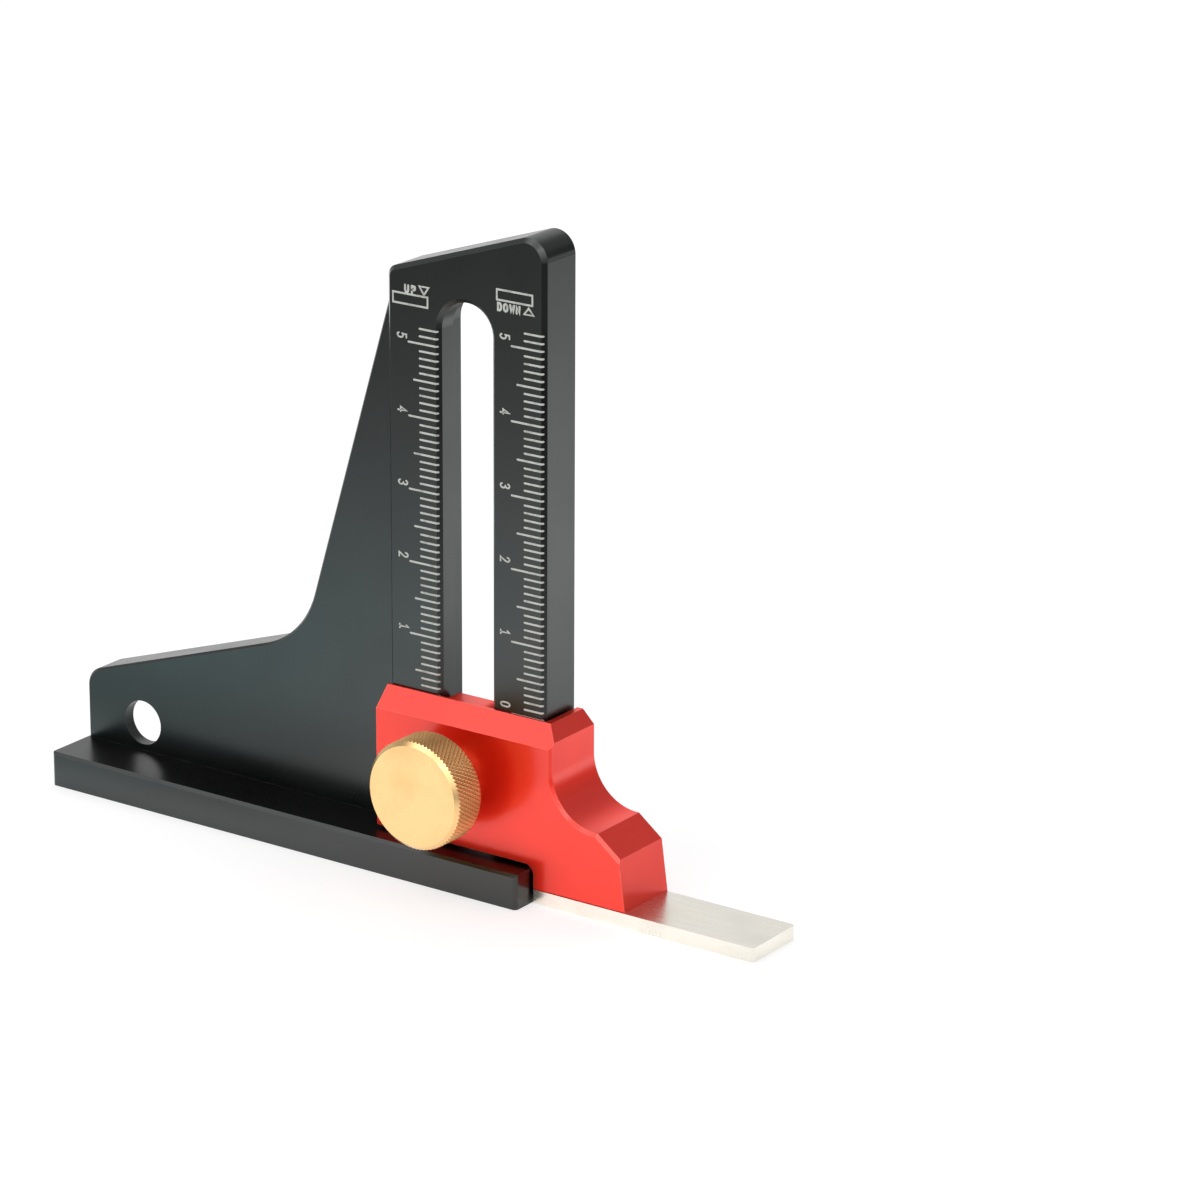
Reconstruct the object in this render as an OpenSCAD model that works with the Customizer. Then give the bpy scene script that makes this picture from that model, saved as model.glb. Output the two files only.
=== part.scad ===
// Depth and height gauge: a flanged body with a slotted column, and a
// slider that carries a flat measuring blade and is held by a thumb screw.
// X runs from the tail to the blade, Y from the front to the back face,
// and Z up from the base face. The origin is the middle of the base face.

/* [Body] */
// Length of the base, from the tail to the right side of the column
base_l = 80; // [76:1:100]
// Height of the body at the highest point of the column
body_h = 89; // [86:1:110]
// Depth of the foot flange, back face to front edge
flange_d = 13.5; // [12:0.5:20]
// Thickness of the foot flange
flange_h = 4.9; // [3:0.1:5.2]
// Radius of the flange's two front corners
flange_corner_r = 0.6; // [0.3:0.1:3]
// Chamfer along the flange's upper front edge
flange_chamfer = 0.4; // [0.2:0.1:1.5]
// Thickness of the web
web_t = 5.5; // [4.8:0.1:6.5]
// Height of the web at the tail end, before its corner is rounded
tail_h = 14.7; // [13.5:0.1:16]
// Slope of the web's upper edge and of the column's top, in degrees
top_slope = 18.1; // [14:0.1:20]
// Lean of the web's steep edge away from the vertical, in degrees
edge_lean = 16.8; // [14:0.1:18]
// Height at which the steep edge runs into the column
edge_top_z = 80.2; // [76:0.1:82]
// Radius of the hollow between the web's two edges
shoulder_r = 13; // [8:0.5:16]
// Radius of the web's corner at the tail
tail_r = 3; // [1:0.5:5]
// Chamfer along the outline of the back face and the slot's back mouth
back_break = 0.4; // [0.1:0.1:0.6]
// Chamfer along the front outline of the web
web_break = 0.3; // [0.1:0.1:0.5]

/* [Column] */
// Width of the column
col_w = 25.4; // [22:0.1:26]
// Thickness of the column
col_t = 7.1; // [6.5:0.1:9]
// Radius of the column's high corner
col_high_r = 3; // [1:0.5:4]
// Radius of the column's low corner
col_low_r = 1.5; // [1:0.1:1.6]
// Chamfer along the front outline of the column and the slot's front mouth
col_break = 0.6; // [0.2:0.1:0.8]
// Width of the slot at the front
slot_w = 8.2; // [7.6:0.1:9.6]
// Width of the slot at the back, where the nut runs
slot_back_w = 11.2; // [10.8:0.1:12.4]
// Depth of the wide part of the slot
slot_back_depth = 4.1; // [3.6:0.1:4.8]
// Radius of the corners of the wide part
slot_back_r = 4; // [2:0.5:5]
// Height of the slot's lower end
slot_low_z = 1.7; // [1.2:0.1:1.8]
// Distance from the slot's upper end to the top of the body
slot_top_gap = 10.1; // [8:0.1:14]

/* [Pockets] */
// Depth of the lightening pockets
pocket_depth = 3.8; // [2:0.1:4.2]
// Rim between the pockets and the web's sloped edges
rim = 2.7; // [2:0.1:3.2]
// Rim between the pockets and the base
rim_low = 2.5; // [1.5:0.1:3]
// Rim between the tail pocket and the tail end
rim_tail = 2.6; // [2:0.1:4]
// Strip between the pockets and the wide part of the slot
slot_strip = 2.7; // [1.5:0.1:3]
// Thickness of the rib beside the tail pocket
tail_rib_t = 4.1; // [2:0.1:5]
// Distance from the tail end to the foot of that rib
tail_rib_x = 40; // [36:0.5:42]
// Thickness of the rib below the tall pocket
web_rib_t = 2.8; // [2:0.1:4]
// Height of that rib where it meets the strip beside the slot
web_rib_z = 31.8; // [30:0.1:36]
// Height of the tall pocket's top
pocket_top_z = 66.1; // [58:0.1:68]
// Height of the middle pocket's lower corner beside the slot
pocket_low_z = 10.9; // [8:0.1:13]
// Slope of the middle pocket's lower edge, in degrees
pocket_low_slope = 22.6; // [18:0.1:24]
// Diameter of the hanging hole
hang_d = 6.4; // [4:0.1:7]
// Distance from the tail end to the hanging hole
hang_x = 10; // [8:0.5:14]
// Height of the hanging hole
hang_z = 9; // [7.5:0.1:9.5]

/* [Slider] */
// Height of the slider's top with the blade level with the base
slider_top_z = 24.6; // [23:0.1:30]
// Thickness of the plate in front of the column
plate_t = 2.95; // [2.7:0.05:4]
// Bevel along the plate's top
plate_bevel = 2.6; // [1:0.1:2.6]
// Thickness of the wall beside the column
wall_t = 2.7; // [2.5:0.1:4]
// Chamfer at the top of that wall
wall_chamfer = 1.8; // [0.5:0.1:2]
// Radius of the hollow between the wall and the foot
cove_r = 7; // [4:0.5:8]
// Height of the foot where the hollow ends
foot_h = 12; // [10:0.1:13]
// Length of the foot on the blade
foot_l = 14.6; // [14.2:0.1:18]
// Width of the slope at the foot's end
foot_slope_w = 3.65; // [2:0.05:3.7]
// Height of that slope
foot_slope_h = 2.8; // [1:0.1:4]
// Lean of the foot's end face
foot_lean = 1; // [0.2:0.1:1.5]
// Chamfer along the front edges of the wall, the hollow and the slope
front_break = 0.4; // [0.2:0.1:1]
// Chamfer along the foot's lower front edge
foot_break = 0.2; // [0.1:0.1:0.5]
// Radius in the corner of the notch over the flange
notch_r = 1.5; // [0.5:0.1:3]
// Height of the notch above the flange
notch_gap = 0.5; // [0.3:0.1:1.2]
// Distance from the slider's block to the back face
block_back_gap = 0.2; // [0:0.1:1]
// Depth of the key in the slot
key_t = 2.5; // [1.5:0.1:2.6]
// Radius of the key's corners
key_corner_r = 1.5; // [0.5:0.1:2]

/* [Blade] */
// Length of the blade
blade_l = 34.6; // [25:0.1:60]
// Thickness of the blade
blade_t = 2; // [1.9:0.1:3]
// Radius of the corners at the blade's end
blade_corner_r = 0.6; // [0.2:0.1:2]
// Diameter of the blade screws
blade_screw_d = 2.5; // [2:0.1:3]
// Diameter of their countersunk heads
blade_screw_head_d = 4.7; // [3.8:0.1:5.5]
// Height of their heads
blade_screw_head_h = 1.4; // [1:0.1:1.8]
// Length of the blade screws with their heads
blade_screw_l = 6.5; // [4:0.1:7]
// Distance from the blade's inner end to the first screw
blade_screw_x = 4; // [3:0.1:5]
// Distance between the two screws
blade_screw_pitch = 6; // [5.6:0.1:7]
// Width across the flats of their hexagon sockets
blade_socket_w = 1.5; // [1:0.1:1.8]
// Depth of those sockets
blade_socket_depth = 0.9; // [0.5:0.1:1.2]

/* [Clamp] */
// Height of the thumb screw's axis with the blade level with the base
screw_z = 14.9; // [13.5:0.1:15.4]
// Diameter of the thumb screw's shank
shank_d = 6; // [4:0.1:6.4]
// Diameter of the thumb screw's knurled head
head_d = 15; // [12:0.1:16]
// Number of grooves of each hand in the head's diamond knurl
knurl_count = 80; // [36:4:88]
// Depth of the knurl
knurl_depth = 0.17; // [0.1:0.01:0.3]
// Lean of the knurl's grooves from the screw's axis, in degrees
knurl_lean = 30; // [25:5:50]
// Thickness of that head
head_t = 5.65; // [4:0.05:8]
// Chamfer on the head's two edges
head_chamfer = 0.6; // [0.4:0.05:0.8]
// Diameter of the collar behind the head
collar_d = 8.4; // [7:0.1:10]
// Length of that collar
collar_l = 3.3; // [2:0.1:5]
// Diameter of the clamp nut
nut_d = 12.3; // [11.6:0.1:13]
// Height of the clamp nut above the back face
nut_proud = 0.5; // [0:0.1:1.5]
// Diameter of the countersink in the clamp nut
nut_sink_d = 8; // [7:0.1:9]
// Distance from the nut's outer face to the end of the shank
shank_recess = 0.9; // [0.4:0.1:1.5]
// Chamfer on the outer edge of the clamp nut
nut_chamfer = 0.3; // [0.1:0.1:0.6]

/* [Fits] */
// Gap between the slider's plate and the column
slide_gap = 0.05; // [0.03:0.01:0.1]
// Gap between the slider's block and the column's side
side_gap = 0.4; // [0.3:0.05:0.8]
// Gap on each side of the key in the slot
key_gap = 0.1; // [0.05:0.01:0.2]
// Radial clearance of the shank in the slider and in the nut
shank_gap = 0.05; // [0.03:0.01:0.1]
// Gap between each of the clamp nut's flats and the wide part of the slot
nut_gap = 0.1; // [0.05:0.01:0.2]
// Clearance of the blade screws in their holes
screw_gap = 0.02; // [0.01:0.01:0.05]

/* [Hidden] */
$fn = 96;
// Overrun of every cut
cut = 1;
// Overrun of the cuts that pass close to other faces
graze = 0.1;
// How far a rounding reaches past its two edges, so that it crosses them cleanly
bite = 0.002;
// Corner radii of the pockets, in the order of their outlines
tail_pocket_radii = [2.5, 3, 3.5, 3];
middle_pocket_radii = [1.8, 2.5, 3, 2.3, 8, 2];
tall_pocket_radii = [2.5, 2.5, 3.3, 2.4];
// Overlap of the web with the column
web_lap = 2;

col_x = base_l - col_w;
slot_x = col_x + col_w / 2;
slot_top_z = body_h - slot_top_gap;
// The column's top edge meets its right side here before the rounding
col_high_z = body_h - col_high_r + col_high_r / tan((90 - top_slope) / 2);
col_low_z = col_high_z - col_w * tan(top_slope);
edge_angle = 90 - edge_lean;
rib_angle = 90 + top_slope;
shoulder = meet([0, tail_h], top_slope, [col_x, edge_top_z], edge_angle);

back_outline = [[0, 0], [base_l, 0], [base_l, col_high_z], [col_x, col_low_z], [col_x, edge_top_z],
    shoulder, [0, tail_h]];
back_radii = [0, 0, col_high_r, col_low_r, 0, shoulder_r, tail_r];
column_outline = [[col_x, flange_h], [base_l, flange_h], [base_l, col_high_z], [col_x, col_low_z]];
column_radii = [0, 0, col_high_r, col_low_r];
web_outline = [[0, flange_h], [col_x, flange_h], [col_x, edge_top_z], shoulder, [0, tail_h]];
web_radii = [0, 0, 0, shoulder_r, tail_r];

slot_back_outline = [[slot_x - slot_back_w / 2, slot_low_z], [slot_x + slot_back_w / 2, slot_low_z],
    [slot_x + slot_back_w / 2, slot_top_z], [slot_x - slot_back_w / 2, slot_top_z]];
slot_back_radii = [for (i = [0 : 3]) slot_back_r];

pocket_x = slot_x - slot_back_w / 2 - slot_strip;
top_inset = rim * [sin(top_slope), -cos(top_slope)];
edge_inset = rim * [sin(edge_angle), -cos(edge_angle)];
tail_rib_half = tail_rib_t / cos(top_slope) / 2;
web_rib_half = web_rib_t / cos(edge_lean) / 2;

plate_y = col_t + slide_gap;
front_y = plate_y + plate_t;
block_x = base_l + side_gap;
wall_x = block_x + wall_t;
foot_x = block_x + foot_l;
slope_end = [foot_x - foot_lean, foot_h - foot_slope_h];
slope_start = [slope_end[0] - foot_slope_w, foot_h];
notch_z = flange_h + notch_gap;
block_d = front_y - block_back_gap;
key_w = slot_w - 2 * key_gap;
shank_hole_r = shank_d / 2 + shank_gap;
seat_y = slot_back_depth - slide_gap;
collar_y = front_y + slide_gap;
head_y = collar_y + collar_l;
shank_end_y = shank_recess - nut_proud;
nut_flats_w = slot_back_w - 2 * nut_gap;
knurl_points = 2 * knurl_count;
knurl_rows = round((head_t - 2 * head_chamfer) * tan(knurl_lean) * knurl_points / (PI * head_d));
blade_mid_y = (front_y + block_back_gap) / 2;

body_colour = [0.17, 0.19, 0.19];
slider_colour = [0.86, 0.16, 0.12];
steel_colour = [0.80, 0.79, 0.75];
brass_colour = [0.88, 0.70, 0.38];

function unit(v) = v / norm(v);
function along(a) = [cos(a), sin(a)];
// Where a line through p at angle a meets a line through q at angle b
function meet(p, a, q, b) = p + along(a) * cross(q - p, along(b)) / cross(along(a), along(b));
function toward(pts, i, step) = unit(pts[(i + step + len(pts)) % len(pts)] - pts[i]);
function half_angle(pts, i) = acos(toward(pts, i, -1) * toward(pts, i, 1)) / 2;
function setback(pts, i, r) = r / tan(half_angle(pts, i));
function corner_centre(pts, i, r) =
    pts[i] + unit(toward(pts, i, -1) + toward(pts, i, 1)) * r / sin(half_angle(pts, i));
function is_hollow(pts, i) = cross(toward(pts, i, 1), toward(pts, i, -1)) < 0;
// How far a chamfer of that size runs on past the end of a straight edge at corner i
function run_on(pts, radii, i, size) = is_hollow(pts, i)
    ? (radii[i] > 0 ? 0 : size / tan(half_angle(pts, i)))
    : (radii[i] > 0 ? graze : 0);
function heading(v) = atan2(v[1], v[0]);

// An outline, given counter-clockwise, with an arc of its own radius at each corner
module rounded_outline(pts, radii) {
    difference() {
        union() {
            polygon([for (i = [0 : len(pts) - 1], step = [-1, 1])
                pts[i] + toward(pts, i, step) * setback(pts, i, radii[i])]);
            for (i = [0 : len(pts) - 1])
                if (radii[i] > 0 && !is_hollow(pts, i))
                    translate(corner_centre(pts, i, radii[i])) circle(r = radii[i] + bite);
        }
        for (i = [0 : len(pts) - 1])
            if (radii[i] > 0 && is_hollow(pts, i))
                translate(corner_centre(pts, i, radii[i])) circle(r = radii[i] + bite);
    }
}

// An outline drawn in X and Z, made solid from y_back to y_front before the back face
module slab(y_back, y_front)
    translate([0, -y_back, 0]) rotate([90, 0, 0]) linear_extrude(height = y_front - y_back) children();

// Cuts a chamfer along the named edges of an outline. The face lies at height 0
// and the solid above it; edge i runs from corner i to the next one.
module outline_break(pts, radii, edges, size) {
    for (i = edges) {
        j = (i + 1) % len(pts);
        from = pts[i] + toward(pts, i, 1) * (setback(pts, i, radii[i]) - run_on(pts, radii, i, size));
        to = pts[j] + toward(pts, j, -1) * (setback(pts, j, radii[j]) - run_on(pts, radii, j, size));
        translate(from) rotate([0, 0, heading(to - from)]) rotate([90, 0, 90])
            linear_extrude(height = norm(to - from))
                polygon([[size + graze, -graze], [-graze, size + graze], [-graze, -graze]]);
    }
    for (i = [0 : len(pts) - 1])
        if (radii[i] > 0 && is_hollow(pts, i))
            translate(corner_centre(pts, i, radii[i])) translate([0, 0, -graze])
                cylinder(r1 = radii[i] + size + graze + bite, r2 = radii[i] - graze + bite,
                    h = size + 2 * graze);
        else if (radii[i] > 0)
            translate(corner_centre(pts, i, radii[i]))
                rotate([0, 0, heading(toward(pts, i, -1)) + 90])
                    rotate_extrude(angle = 180 - 2 * half_angle(pts, i))
                        translate([radii[i] + bite, 0])
                            polygon([[-size - graze, -graze], [graze, size + graze], [graze, -graze]]);
}

// Cuts drawn at height 0 and up, laid on the back face
module on_back()
    rotate([90, 0, 0]) children();

// Cuts drawn at height 0 and up, laid on a front face that stands y before the back face
module on_front(y)
    translate([0, -y, 0]) rotate([90, 0, 0]) mirror([0, 0, 1]) children();

// A profile of radius and distance before the back face, turned about the screw's axis
module turned(profile)
    translate([slot_x, 0, screw_z]) rotate([90, 0, 0]) rotate_extrude() polygon(profile);

// Sets a piece drawn from the tail end and the back face about the origin
module at_origin()
    translate([-base_l / 2, flange_d / 2, 0]) children();

module column_blank()
    slab(0, col_t)
        rounded_outline([[col_x, 0], [base_l, 0], [base_l, col_high_z], [col_x, col_low_z]],
            [0, 0, col_high_r, col_low_r]);

module web_blank()
    slab(0, web_t)
        rounded_outline([[0, 0], [col_x + web_lap, 0], [col_x + web_lap, edge_top_z],
            [col_x, edge_top_z], shoulder, [0, tail_h]], [0, 0, 0, 0, shoulder_r, tail_r]);

module flange_blank()
    difference() {
        linear_extrude(height = flange_h)
            rounded_outline([[0, -flange_d], [base_l, -flange_d], [base_l, 0], [0, 0]],
                [flange_corner_r, flange_corner_r, 0, 0]);
        translate([-cut, -flange_d, flange_h]) rotate([45, 0, 0])
            translate([0, -flange_d / 2, -flange_chamfer / sqrt(2)])
                cube([base_l + 2 * cut, flange_d, flange_d]);
    }

module slot_cut() {
    slab(-cut, slot_back_depth) rounded_outline(slot_back_outline, slot_back_radii);
    slab(0, col_t) {
        translate([slot_x - slot_w / 2, slot_low_z + slot_w / 2])
            square([slot_w, slot_top_z - slot_low_z - slot_w]);
        for (z = [slot_low_z + slot_w / 2, slot_top_z - slot_w / 2])
            translate([slot_x, z]) circle(d = slot_w);
    }
}

module slot_break()
    on_front(col_t) {
        for (z = [slot_low_z + slot_w / 2, slot_top_z - slot_w / 2])
            translate([slot_x, z, -graze])
                cylinder(r1 = slot_w / 2 + col_break + graze, r2 = slot_w / 2, h = col_break + graze);
        translate([slot_x, slot_top_z - slot_w / 2, 0]) rotate([90, 0, 0])
            linear_extrude(height = slot_top_z - slot_low_z - slot_w)
                polygon([[-slot_w / 2 - col_break - graze, -graze], [slot_w / 2 + col_break + graze, -graze],
                    [slot_w / 2, col_break], [-slot_w / 2, col_break]]);
    }

module edge_breaks() {
    on_back() outline_break(back_outline, back_radii, [1 : 6], back_break);
    // The mouth of a hole is cut as an outline that runs the other way round
    on_back() outline_break([for (i = [3 : -1 : 0]) slot_back_outline[i]], slot_back_radii,
        [0 : 3], back_break);
    on_front(col_t) outline_break(column_outline, column_radii, [1 : 3], col_break);
    on_front(web_t) outline_break(web_outline, web_radii, [2 : 4], web_break);
    slot_break();
}

module tail_pocket()
    rounded_outline([
        [rim_tail, rim_low],
        meet([0, rim_low], 0, [tail_rib_x - tail_rib_half, 0], rib_angle),
        meet([0, tail_h] + top_inset, top_slope, [tail_rib_x - tail_rib_half, 0], rib_angle),
        meet([0, tail_h] + top_inset, top_slope, [rim_tail, 0], 90)], tail_pocket_radii);

module middle_pocket()
    rounded_outline([
        meet([pocket_x, pocket_low_z], pocket_low_slope, [tail_rib_x + tail_rib_half, 0], rib_angle),
        [pocket_x, pocket_low_z],
        [pocket_x, web_rib_z - web_rib_half],
        meet([pocket_x, web_rib_z - web_rib_half], -edge_lean, shoulder + edge_inset, edge_angle),
        meet(shoulder + edge_inset, edge_angle, shoulder + top_inset, top_slope),
        meet(shoulder + top_inset, top_slope, [tail_rib_x + tail_rib_half, 0], rib_angle)],
        middle_pocket_radii);

module tall_pocket()
    rounded_outline([
        meet([pocket_x, web_rib_z + web_rib_half], -edge_lean, shoulder + edge_inset, edge_angle),
        [pocket_x, web_rib_z + web_rib_half],
        [pocket_x, pocket_top_z],
        meet([0, pocket_top_z], 0, shoulder + edge_inset, edge_angle)], tall_pocket_radii);

module body()
    color(body_colour) at_origin() difference() {
        union() {
            column_blank();
            web_blank();
            flange_blank();
        }
        slot_cut();
        edge_breaks();
        slab(-cut, pocket_depth) tail_pocket();
        slab(-cut, pocket_depth) middle_pocket();
        slab(-cut, pocket_depth) tall_pocket();
        slab(-cut, web_t + cut) translate([hang_x, hang_z]) circle(d = hang_d);
    }

// The slider's outline, with the hollow still filled by a straight slope
module slider_outline()
    difference() {
        polygon([[col_x, blade_t], [foot_x, blade_t], slope_end, slope_start,
            [wall_x + cove_r, foot_h], [wall_x, foot_h + cove_r],
            [wall_x, slider_top_z - wall_chamfer], [wall_x - wall_chamfer, slider_top_z],
            [col_x, slider_top_z]]);
        translate([wall_x + cove_r, foot_h + cove_r]) circle(r = cove_r + bite);
    }

module notch_cut()
    slab(-cut, front_y + cut) {
        translate([col_x - cut, 0]) square([block_x - notch_r - col_x + cut, notch_z]);
        translate([col_x - cut, 0]) square([block_x - col_x + cut, notch_z - notch_r]);
        translate([block_x - notch_r, notch_z - notch_r]) circle(r = notch_r + bite);
    }

// Cuts a bevel along a front edge that runs from p to q with the solid on its right
module front_bevel(p, q, size)
    translate([p[0], -front_y, p[1]]) rotate([0, atan2(p[1] - q[1], q[0] - p[0]), 0])
        translate([0, 0, -size]) rotate([45, 0, 0])
            translate([0, -cut, 0]) cube([norm(q - p), size * sqrt(2) + 2 * cut, size + cut]);

module front_bevels() {
    front_bevel([col_x - cut, slider_top_z], [wall_x + cut, slider_top_z], plate_bevel);
    front_bevel([wall_x, slider_top_z + cut], [wall_x, foot_h + cove_r], front_break);
    front_bevel([wall_x + cove_r, foot_h], slope_start, front_break);
    front_bevel(slope_start, slope_end + cut * unit(slope_end - slope_start), front_break);
    front_bevel([foot_x + cut, blade_t], [block_x - cut, blade_t], foot_break);
    translate([wall_x + cove_r, -front_y + front_break, foot_h + cove_r]) rotate([90, 0, 0])
        cylinder(r1 = cove_r + bite, r2 = cove_r + bite + front_break + cut, h = front_break + cut);
}

module key()
    slab(plate_y - key_t, plate_y + plate_t / 2)
        rounded_outline([[slot_x - key_w / 2, notch_z], [slot_x + key_w / 2, notch_z],
            [slot_x + key_w / 2, slider_top_z], [slot_x - key_w / 2, slider_top_z]],
            [for (i = [0 : 3]) key_corner_r]);

module slider()
    color(slider_colour) at_origin() difference() {
        union() {
            difference() {
                slab(block_back_gap, front_y) slider_outline();
                translate([col_x - cut, -plate_y, 0])
                    cube([block_x - col_x + cut, plate_y, slider_top_z + cut]);
            }
            key();
        }
        notch_cut();
        front_bevels();
        translate([slot_x, 0, screw_z]) rotate([90, 0, 0]) cylinder(r = shank_hole_r, h = front_y + cut);
        for (x = [0, blade_screw_pitch])
            translate([block_x + blade_screw_x + x, -blade_mid_y, 0])
                cylinder(r = blade_screw_d / 2 + screw_gap, h = blade_screw_l + blade_t / 2);
    }

module blade()
    color(steel_colour) at_origin() difference() {
        linear_extrude(height = blade_t)
            rounded_outline([[block_x, -front_y], [block_x + blade_l, -front_y],
                [block_x + blade_l, -block_back_gap], [block_x, -block_back_gap]],
                [0, blade_corner_r, blade_corner_r, 0]);
        for (x = [0, blade_screw_pitch])
            translate([block_x + blade_screw_x + x, -blade_mid_y, 0]) {
                translate([0, 0, -cut]) cylinder(r = blade_screw_d / 2 + screw_gap, h = blade_t + 2 * cut);
                cylinder(r1 = blade_screw_head_d / 2 + screw_gap, r2 = blade_screw_d / 2 + screw_gap,
                    h = blade_screw_head_h);
            }
    }

module blade_screws()
    color(steel_colour) at_origin() for (x = [0, blade_screw_pitch])
        translate([block_x + blade_screw_x + x, -blade_mid_y, 0]) difference() {
            union() {
                cylinder(d1 = blade_screw_head_d, d2 = blade_screw_d, h = blade_screw_head_h);
                cylinder(d = blade_screw_d, h = blade_screw_l);
            }
            translate([0, 0, -cut])
                cylinder(d = blade_socket_w / cos(30), h = blade_socket_depth + cut, $fn = 6);
        }

// One ring of points round the head, with a peak at every other point. The peaks of
// the next ring stand over this one's valleys, so that the grooves cross.
function knurl_ring(distance, first, second) = [for (i = [0 : knurl_points - 1])
    concat((i % 2 == 0 ? first : second) * along(i * 360 / knurl_points), distance)];
function row_ring(k) = knurl_ring(head_chamfer + k * (head_t - 2 * head_chamfer) / knurl_rows,
    head_d / 2 - (k % 2) * knurl_depth, head_d / 2 - (1 - k % 2) * knurl_depth);
// A smooth ring on one of the two chamfers, at its foot or where it meets the valleys
function turned_ring(distance, inset) = knurl_ring(distance, head_d / 2 - inset, head_d / 2 - inset);

// The two triangles between ring q and the next at point i, split along the groove
function knurl_cell(q, i) = let (
    a = q * knurl_points + i, b = q * knurl_points + (i + 1) % knurl_points,
    c = b + knurl_points, d = a + knurl_points)
    (q + i) % 2 == 1 ? [[a, d, b], [b, d, c]] : [[a, c, b], [a, d, c]];

// The head, built from its back face up, with the diamond knurl round it
module knurled_head()
    polyhedron(
        points = concat(
            turned_ring(0, head_chamfer), turned_ring(head_chamfer - knurl_depth, knurl_depth),
            [for (k = [0 : knurl_rows]) each row_ring(k)],
            turned_ring(head_t - head_chamfer + knurl_depth, knurl_depth), turned_ring(head_t, head_chamfer)),
        faces = concat(
            [[for (i = [0 : knurl_points - 1]) i]],
            [for (q = [0 : knurl_rows + 3], i = [0 : knurl_points - 1]) each knurl_cell(q, i)],
            [[for (i = [1 : knurl_points]) (knurl_rows + 5) * knurl_points - i]]));

module thumb_screw()
    color(brass_colour) at_origin() {
        turned([[0, shank_end_y], [shank_d / 2, shank_end_y], [shank_d / 2, collar_y],
            [collar_d / 2, collar_y], [collar_d / 2, head_y], [0, head_y]]);
        translate([slot_x, -head_y, screw_z]) rotate([90, 0, 0]) knurled_head();
    }

module clamp_nut()
    color(brass_colour) at_origin() intersection() {
        turned([[nut_sink_d / 2, -nut_proud], [nut_d / 2 - nut_chamfer, -nut_proud],
            [nut_d / 2, nut_chamfer - nut_proud], [nut_d / 2, seat_y], [shank_hole_r, seat_y],
            [shank_hole_r, nut_sink_d / 2 - shank_hole_r - nut_proud]]);
        translate([slot_x - nut_flats_w / 2, -seat_y - cut, screw_z - nut_d])
            cube([nut_flats_w, seat_y + nut_proud + 2 * cut, 2 * nut_d]);
    }

body();
slider();
blade();
blade_screws();
thumb_screw();
clamp_nut();
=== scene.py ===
"""Looks for a depth and height gauge: finishes for its metal parts, and its engraved scales.

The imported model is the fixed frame, in metres. X runs from the tail to the blade, Y from
the front to the back face, and Z up from the base face. The finishes come first, then the
engraving, then the sub-assemblies that wear them, and the studio and the camera last.
"""

import logging
import math
from dataclasses import dataclass, field
from enum import Enum

import bmesh
import bpy
from mathutils import Matrix, Vector


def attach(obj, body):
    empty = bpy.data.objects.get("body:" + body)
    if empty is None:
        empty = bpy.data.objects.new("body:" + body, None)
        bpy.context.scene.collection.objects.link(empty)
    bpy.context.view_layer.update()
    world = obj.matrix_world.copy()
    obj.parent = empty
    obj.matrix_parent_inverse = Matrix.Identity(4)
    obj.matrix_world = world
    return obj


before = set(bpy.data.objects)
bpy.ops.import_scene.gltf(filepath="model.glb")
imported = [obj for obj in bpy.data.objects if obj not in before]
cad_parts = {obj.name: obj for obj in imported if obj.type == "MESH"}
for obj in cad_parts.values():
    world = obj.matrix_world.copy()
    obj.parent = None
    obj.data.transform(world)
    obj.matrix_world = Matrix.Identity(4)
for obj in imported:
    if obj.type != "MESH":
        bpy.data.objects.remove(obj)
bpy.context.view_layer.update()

Tree = bpy.types.NodeTree
Socket = bpy.types.NodeSocket
Pair = tuple[float, float]
Point = tuple[float, float, float]

LOG = logging.getLogger("gauge")
MM = 0.001
WHITE = "#FFFFFF"
# From the tail end and the back face, where the drawing starts, to the frame's origin
DRAWING_ORIGIN = Vector((-40.0, 6.75, 0.0)) * MM
# Where the thumb screw's axis lies, along X and Z
THUMB_AXIS = (27.3 * MM, 14.9 * MM)
# The directions towards the blade and towards the back
RIGHT, BACK = (1.0, 0.0, 0.0), (0.0, 1.0, 0.0)
# Most values of a noise lie between these two
NOISE_SPAN = (0.3, 0.7)
# The Mix node's numbers for its two colours and for the mixed colour
UNDER, OVER, MIXED = 6, 7, 2


def linear(hex_colour: str) -> tuple[float, float, float, float]:
    """Turns an sRGB hex colour into Blender's linear values.

    Args:
        hex_colour: a hash and six hex digits.

    Returns:
        Linear red, green and blue, and an alpha of 1.
    """
    digits = hex_colour.lstrip("#")
    parts = [int(digits[i:i + 2], 16) / 255 for i in (0, 2, 4)]
    # The straight part and the curve of the sRGB standard
    return (*[c / 12.92 if c <= 0.04045 else ((c + 0.055) / 1.055) ** 2.4 for c in parts], 1.0)


def add_node(tree: Tree, kind: str, inputs: dict | list | None = None,
             **settings: object) -> bpy.types.Node:
    """Adds one node with its settings, and with a value or a link at its inputs.

    Args:
        tree: the node tree that gets the node.
        kind: the node's type name.
        inputs: value or output socket for an input, by the input's name or number, or a
            list of them from the first input on.
        settings: the node's own properties.

    Returns:
        The new node.
    """
    node = tree.nodes.new(kind)
    for name, value in settings.items():
        setattr(node, name, value)
    given = inputs if isinstance(inputs, dict) else dict(enumerate(inputs or ()))
    for name, value in given.items():
        if isinstance(value, Socket):
            tree.links.new(value, node.inputs[name])
        else:
            node.inputs[name].default_value = value
    return node


def empty_material(name: str) -> tuple[bpy.types.Material, Tree]:
    """Makes a material whose node tree is still empty.

    Args:
        name: the material's name.

    Returns:
        The material and its node tree.
    """
    material = bpy.data.materials.new(name)
    material.use_nodes = True
    material.node_tree.nodes.clear()
    return material, material.node_tree


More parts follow.
